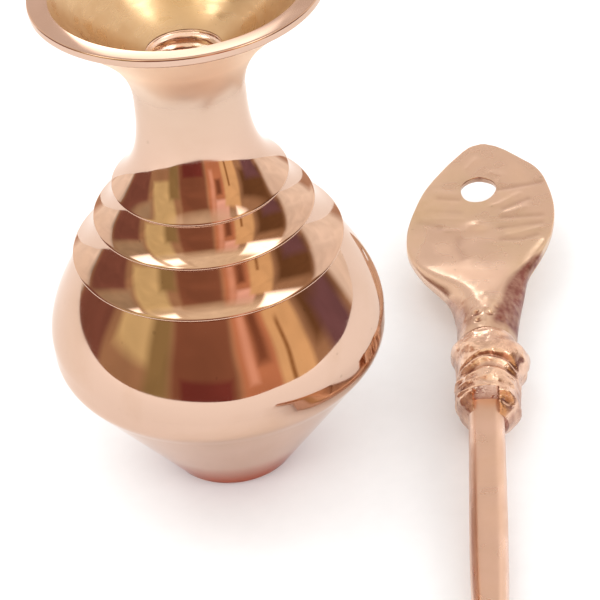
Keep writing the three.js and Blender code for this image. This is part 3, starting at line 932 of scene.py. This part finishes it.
def make_stopper():
    """The screw stopper: a worn, lumpy casting with traces of its thread, filed flat over the rod."""
    rows = 230
    columns = 240
    s = np.linspace(STOPPER_TOP - JOINT, STOPPER_END, rows)[:, None]
    angle = np.linspace(0, 2 * np.pi, columns, endpoint=False)[None, :]
    radius = stopper_radius(s, angle)
    across = radius * np.cos(angle)
    up = radius * np.sin(angle)
    along = s + 0 * angle
    spots = np.stack([across, along, up], -1)
    worn = lumps(spots, 2.3, 3.0) * 0.16
    worn += lumps(spots, 1.1, 7.0) * 0.09
    worn += lumps(spots, 0.5, 13.0) * 0.03
    ends = np.clip((STOPPER_TOP - s) / 0.8, 0, 1) * np.clip((s - STOPPER_END) / 1.5, 0, 1)
    radius = radius + worn * ends
    limit = np.where(up > 0, 6.0, FLANGE_RADIUS - 0.02)
    radius = np.minimum(radius, limit)
    across = radius * np.cos(angle)
    up = radius * np.sin(angle)
    beside = np.clip((np.abs(across - ROD_OFFSET) - NOTCH["half_width"]) / 0.22, 0, 1)
    above = np.clip((along - NOTCH["start"]) / NOTCH["slope"] + 0.6, 0, 1)
    in_notch = (1 - np.maximum(beside, above)) * (up > NOTCH["floor"])
    up = up - (up - NOTCH["floor"]) * in_notch
    points = np.stack([across, along, up], -1).reshape(-1, 3)
    tips = [(0, STOPPER_TOP - JOINT, 0), (0, STOPPER_END, 0)]
    faces = tube_faces(rows, columns)
    stopper = make_object("stopper_cast", np.vstack([points, tips]), faces, [STOPPER_BRASS])
    # Darker in hollows, and painted shade on both flanks.
    lengthwise = np.roll(radius, 6, 0) + np.roll(radius, -6, 0)
    crosswise = np.roll(radius, 8, 1) + np.roll(radius, -8, 1)
    around = (lengthwise + crosswise) / 4
    sunk = np.clip((around - radius) / 0.16, 0, 1)
    flank_shade = np.clip((np.abs(np.cos(angle)) - 0.55) / 0.4, 0, 1) * (up > -1.5)
    blotched = np.clip(lumps(spots, 1.7, 41.0) * 1.6 + 0.35, 0, 1)
    dark = np.clip(0.85 * sunk + 0.55 * flank_shade * blotched, 0, 1)
    stain(stopper, np.append(dark.ravel(), [0.5, 0.5]))
    return lay_down(stopper)


def make_rod():
    """The rod: uneven filed flats, a slow taper and a rounded tip."""
    rounding = 1.6
    hidden = np.linspace(ROD_TOP, -12, 12)  # the part inside the stopper
    bare = np.linspace(-12.5, ROD_TIP + rounding, 120)
    straight = np.concatenate([hidden, bare])
    quarter = np.linspace(0, np.pi / 2, 14)[1:]
    along = np.concatenate([straight, ROD_TIP + rounding * (1 - np.sin(quarter))])
    half = smooth_between(ROD_TAPER, straight)
    half = np.concatenate([half, half[-1] * np.maximum(np.cos(quarter), 0.03)])
    columns = 144
    angle = np.linspace(0, 2 * np.pi, columns, endpoint=False)[None, :]
    drift = 0.02 * np.sin(along / 9)[:, None]
    filed = np.zeros((len(along), columns))
    for degrees, out in ROD_FLATS:
        uneven = out * (1 + 0.005 * np.sin(along / (5 + degrees / 60) + degrees))[:, None]
        facing = np.maximum(np.cos(angle - math.radians(degrees) - drift), 0)
        filed += (facing / uneven) ** ROD_SQUARENESS
    radius = half[:, None] * filed ** (-1 / ROD_SQUARENESS)
    across = ROD_OFFSET + radius * np.cos(angle)
    up = radius * np.sin(angle)
    points = np.stack([across, along[:, None] + 0 * angle, up], -1).reshape(-1, 3)
    tips = [(ROD_OFFSET, ROD_TOP, 0), (ROD_OFFSET, ROD_TIP, 0)]
    faces = tube_faces(len(along), columns)
    rod = make_object("rod_filed", np.vstack([points, tips]), faces, [ROD_BRASS])
    return lay_down(rod)


def lay_down(obj):
    """Puts a piece made in the stick's own frame where the stick lies."""
    place = Matrix.Translation(Vector((*STICK_AT, STICK_HEIGHT)) * MM)
    matrix = place @ Matrix.Rotation(STICK_YAW, 4, "Z") @ Matrix.Rotation(STICK_SLOPE, 4, "X")
    obj.data.transform(matrix)
    return obj


# ---- The scene round the object ----
FLOOR_HALF_WIDTH = 4000


def make_floor():
    """A wide sheet of plain white paper."""
    n = Nodes("floor_paper")
    fibres = n.noise(n.place(), 0.35, detail=6, roughness=0.6)
    shade = n.mix(n.map(fibres, 0.3, 0.7, 0, 1), (0.93, 0.93, 0.93), (0.95, 0.95, 0.95))
    shader = n.add("ShaderNodeBsdfPrincipled")
    n.put(shade, shader.inputs["Base Color"])
    shader.inputs["Roughness"].default_value = 0.9
    shader.inputs["Specular IOR Level"].default_value = 0.0
    output = n.add("ShaderNodeOutputMaterial")
    n.put(shader.outputs[0], output.inputs["Surface"])
    half = FLOOR_HALF_WIDTH
    corners = [(-half, -half, 0), (half, -half, 0), (half, half, 0), (-half, half, 0)]
    floor = make_object("floor", corners, [(0, 1, 2, 3)], [n.material])
    return floor


# Patches of the room that the brass mirrors: (azimuth from, to, elevation from, to, colour, softness).
# Azimuth is in degrees from -Y towards +X, seen from the pot, and softness is in degrees. A later
# patch covers the ones before it.
ROOM = {
    "shade": (-130, 120, -20, 95, (0.55, 0.34, 0.20), 1),
    "back": (106, 240, -20, 95, (1.3, 1.2, 1.08), 6),
    "back_high": (106, 240, 20, 95, (1.2, 1.08, 0.96), 8),
    "back_tan": (150, 212, 36, 72, (0.84, 0.72, 0.62), 10),
    "back_middle": (156, 206, 10, 38, (0.98, 0.87, 0.80), 6),
    "back_brown": (147, 213, -6, 10, (0.66, 0.42, 0.30), 6),
    "back_window": (174, 182.8, 6, 22, (4.2, 4.1, 3.9), 1.2),
    "left_dark": (-118, -84, -20, 32, (0.30, 0.13, 0.10), 5),
    "left_grey": (-118, -80, 32, 60, (0.55, 0.43, 0.29), 8),
    "left_gold": (-76, -44, 8, 66, (0.96, 0.80, 0.42), 6),
    "left_olive": (-50, -34, -20, 34, (0.39, 0.29, 0.13), 7),
    "maroon": (-32, 10, -20, 52, (0.35, 0.15, 0.09), 5),
    "maroon_low": (-26, 6, -20, 6, (0.26, 0.065, 0.055), 4),
    "red_drape": (12, 40, -20, 62, (0.80, 0.36, 0.20), 5),
    "red_drape_fold": (17, 23, 0, 58, (1.1, 0.6, 0.43), 4),
    "red_drape_dark": (25, 33, 12, 34, (0.34, 0.13, 0.07), 5),
    "pale_drape": (24, 44, 42, 60, (1.3, 0.82, 0.70), 4),
    "right_gold": (38, 62, -20, 50, (1.1, 0.76, 0.40), 4),
    "right_gold_fold": (45, 48, -20, 24, (0.47, 0.24, 0.09), 2),
    "right_dark": (67, 103, 4, 40, (0.22, 0.11, 0.05), 7),
    "right_purple": (76, 100, -10, 17, (0.25, 0.13, 0.155), 8),
    "ceiling_left": (-106, -40, 58, 95, (1.25, 1.1, 0.84), 14),
    "ceiling": (-40, 110, 58, 95, (1.15, 1.0, 0.76), 14),
    "window_right": (56, 104, 51, 66, (3.8, 3.8, 3.6), 5),
    "window_left": (-70, -46, 61, 70, (3.6, 3.6, 3.3), 4),
    "skylight": (-106, -80, 50, 66, (3.6, 3.5, 3.3), 4),
}
ROOM_EDGES = (-119, 241)  # a full circle
ROOM_TOP = 86  # elevation where the ceiling ends
ROOM_DISTANCE_FRONT = 230
ROOM_DISTANCE_GAIN = 464  # how much further away the room's back is than its front
ROOM_EYE = 38  # height in mm that the room's directions are given from


def room_colour(azimuth, elevation):
    """The colour of the mirrored room in a direction, built up from its patches."""
    colour = np.zeros((*azimuth.shape, 3))
    for left, right, bottom, top, tint, soft in ROOM.values():
        inside = np.minimum(
            np.minimum(azimuth - left, right - azimuth), np.minimum(elevation - bottom, top - elevation)
        )
        amount = np.clip(0.5 + inside / soft, 0, 1)[..., None]
        colour = colour * (1 - amount) + np.array(tint) * amount
    return colour


def make_room():
    """The walls and ceiling round the object, which are seen only mirrored in the brass."""
    azimuths = np.arange(ROOM_EDGES[0], ROOM_EDGES[1] + 0.1, 1.0)
    rises = np.linspace(0, 1, 101)
    azimuth, rise = np.meshgrid(azimuths, rises, indexing="ij")
    a = np.radians(azimuth)
    distance = ROOM_DISTANCE_FRONT + ROOM_DISTANCE_GAIN * np.sin(a / 2) ** 2
    floor_angle = -np.degrees(np.arctan2(ROOM_EYE, distance))
    elevation = floor_angle + (ROOM_TOP - floor_angle) * rise
    e = np.radians(elevation)
    reach = distance / np.maximum(np.cos(e), 0.35)
    points = np.stack([
        np.sin(a) * np.cos(e) * reach,
        -np.cos(a) * np.cos(e) * reach,
        ROOM_EYE + np.sin(e) * reach,
    ], -1)
    columns = len(rises)
    faces = []
    for i in range(len(azimuths) - 1):
        for k in range(columns - 1):
            c = i * columns + k
            faces.append((c, c + 1, c + columns + 1, c + columns))
    n = Nodes("room_light")
    colours = n.add("ShaderNodeAttribute", attribute_name="room")
    blotches = n.noise(n.place(), 0.008, detail=1, distortion=0.6)
    light = n.mix(1.0, colours.outputs["Color"], n.map(blotches, 0.3, 0.7, 0.9, 1.1), "MULTIPLY")
    shader = n.add("ShaderNodeEmission")
    n.put(light, shader.inputs["Color"])
    output = n.add("ShaderNodeOutputMaterial")
    n.put(shader.outputs[0], output.inputs["Surface"])
    room = make_object("room", points.reshape(-1, 3), faces, [n.material])
    colour = room_colour(azimuth, elevation).reshape(-1, 3)
    attribute = room.data.color_attributes.new("room", "FLOAT_COLOR", "POINT")
    attribute.data.foreach_set("color", np.hstack([colour, np.ones((len(colour), 1))]).ravel())
    room.visible_camera = False
    room.visible_diffuse = False
    room.visible_shadow = False
    return room


# The lamps light only the paper, so the brass mirrors the room instead of them. Each has its azimuth
# in degrees, its height and its distance from the pot in metres, and its power in watts.
LAMPS = {
    "softbox_top": (-110, 0.70, 0.28, 0.8),
    "softbox_front_left": (-52, 0.24, 0.60, 1.7),
    "softbox_front_right": (48, 0.24, 0.60, 1.7),
    "softbox_back_left": (-150, 0.26, 0.60, 0.5),
    "softbox_back_right": (140, 0.26, 0.60, 0.5),
}


def make_light():
    """Soft white light on the paper, from the world and the lamps."""
    world = bpy.data.worlds.new("studio")
    bpy.context.scene.world = world
    world.use_nodes = True
    background = world.node_tree.nodes["Background"]
    background.inputs["Color"].default_value = (1.0, 0.995, 0.99, 1)
    background.inputs["Strength"].default_value = 1.0
    for name, (azimuth, height, distance, power) in LAMPS.items():
        lamp = bpy.data.lights.new(name, "AREA")
        lamp.shape = "DISK"
        lamp.size = 0.45
        lamp.energy = power
        obj = bpy.data.objects.new(name, lamp)
        a = math.radians(azimuth)
        obj.location = (distance * math.sin(a), -distance * math.cos(a), height)
        away = Vector((0.01, 0, 0.01)) - obj.location
        obj.rotation_euler = away.to_track_quat("-Z", "Y").to_euler()
        bpy.context.scene.collection.objects.link(obj)
        obj.visible_glossy = False
        obj.visible_camera = False


CAMERA_AT = (0.009961, -0.200955, 0.172977)  # in metres
CAMERA_PITCH = math.radians(-36.919)
CAMERA_ROLL = math.radians(-5.578)
CAMERA_LENS = 126


def make_camera():
    """The camera that looks down along +Y at the object, a little tipped to one side."""
    data = bpy.data.cameras.new("camera")
    data.sensor_width = 36
    data.lens = CAMERA_LENS
    data.clip_start = 0.01
    camera = bpy.data.objects.new("camera", data)
    place = Matrix.Translation(CAMERA_AT)
    pitch = Matrix.Rotation(math.pi / 2 + CAMERA_PITCH, 4, "X")
    camera.matrix_world = place @ pitch @ Matrix.Rotation(CAMERA_ROLL, 4, "Z")
    bpy.context.scene.collection.objects.link(camera)
    bpy.context.scene.camera = camera


def keep(piece, body, slot, *nodes):
    """Lets a piece ride on a body in place of its CAD nodes; slot is not used."""
    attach(piece, body)
    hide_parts(*nodes)


make_camera()
make_light()
make_floor()
make_room()
keep(make_foot(), "pot", "foot", "foot_disc")
keep(make_bowl(), "pot", "pot_outside", "lower_bowl")
keep(make_shoulder(), "pot", "pot_outside", "stepped_shoulder")
keep(make_mouth(), "pot", "mouth", "trumpet_mouth")
keep(make_bush(), "pot", "throat", "threaded_bush")
keep(make_leaf(), "applicator", "leaf", "leaf_head")
keep(make_stopper(), "applicator", "stopper", "screw_stopper")
keep(make_rod(), "applicator", "rod", "applicator_rod")

bpy.context.scene.view_settings.view_transform = "Standard"
